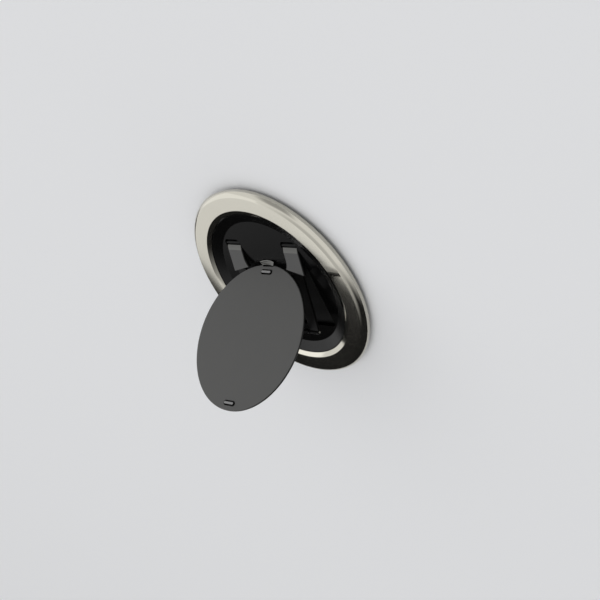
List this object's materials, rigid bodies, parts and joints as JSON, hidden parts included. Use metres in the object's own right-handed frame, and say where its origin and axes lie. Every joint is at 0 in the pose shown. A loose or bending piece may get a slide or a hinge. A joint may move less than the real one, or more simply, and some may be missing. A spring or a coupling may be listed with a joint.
{
  "type": "magnetic phone grip",
  "caption": "Round magnetic phone grip with a flat metal ring and a recessed grip disc that folds out on hinged links as a stand.",
  "frame": {"origin": "centre of the back face, the flat face that lies on the phone", "axes": "+Z out of the phone through the ring's axis, +X along the hinge axes, +Y towards the hinge of the frame"},
  "size_m": [0.0529, 0.0528, 0.0315],
  "materials": {
    "champagne_metal": "champagne anodised, satin",
    "black_plastic": "semi-gloss moulded",
    "cover_plastic": "fine matt",
    "silicone": "matt silicone",
    "magnet_plate": "nickel plated",
    "shield_steel": "rolled",
    "screw_steel": "blackened",
    "pin_steel": "ground",
    "frame_metal": "black coated",
    "plate_metal": "grey coated, satin",
    "disc_metal": "dark grey anodised, fine blasted",
    "tab_metal": "grey satin"
  },
  "bodies": {
    "base": {"trim_ring": "champagne_metal", "recess_pan": "black_plastic", "back_cover": "cover_plastic", "contact_pad": "silicone", "magnet_ring": "magnet_plate", "shield_ring": "shield_steel", "cover_screws": "screw_steel", "left_arm_pin": "pin_steel", "right_arm_pin": "pin_steel", "latch_magnets": "magnet_plate"},
    "frame": {"arm_frame": "frame_metal", "left_arm_plate": "plate_metal", "right_arm_plate": "plate_metal", "strut_pin": "pin_steel"},
    "strut": {"strut": "frame_metal"},
    "disc": {"disc_pin": "pin_steel", "grip_disc": "disc_metal", "disc_bracket": "frame_metal", "bracket_rivets": "screw_steel", "lift_tab": "tab_metal", "upper_slot_pin": "pin_steel", "lower_slot_pin": "pin_steel"}
  },
  "joints": [
    {"name": "frame_fold", "type": "hinge", "parent": "base", "child": "frame", "pos_m": [0, 0.011, 0.00135], "axis": [1, 0, 0], "range_deg": [0, 12.5]},
    {"name": "strut_fold", "type": "hinge", "parent": "frame", "child": "strut", "pos_m": [0, -0.01067, 0.00616], "axis": [1, 0, 0], "range_deg": [-79.6, 0]},
    {"name": "disc_fold", "type": "hinge", "parent": "strut", "child": "disc", "pos_m": [0, -0.00642, 0.01621], "axis": [1, 0, 0], "range_deg": [0, 121.6]}
  ],
  "couplings": [
    {"joint": "frame_fold", "follows": "disc_fold", "ratio": 0.10283},
    {"joint": "strut_fold", "follows": "disc_fold", "ratio": -0.65464}
  ]
}
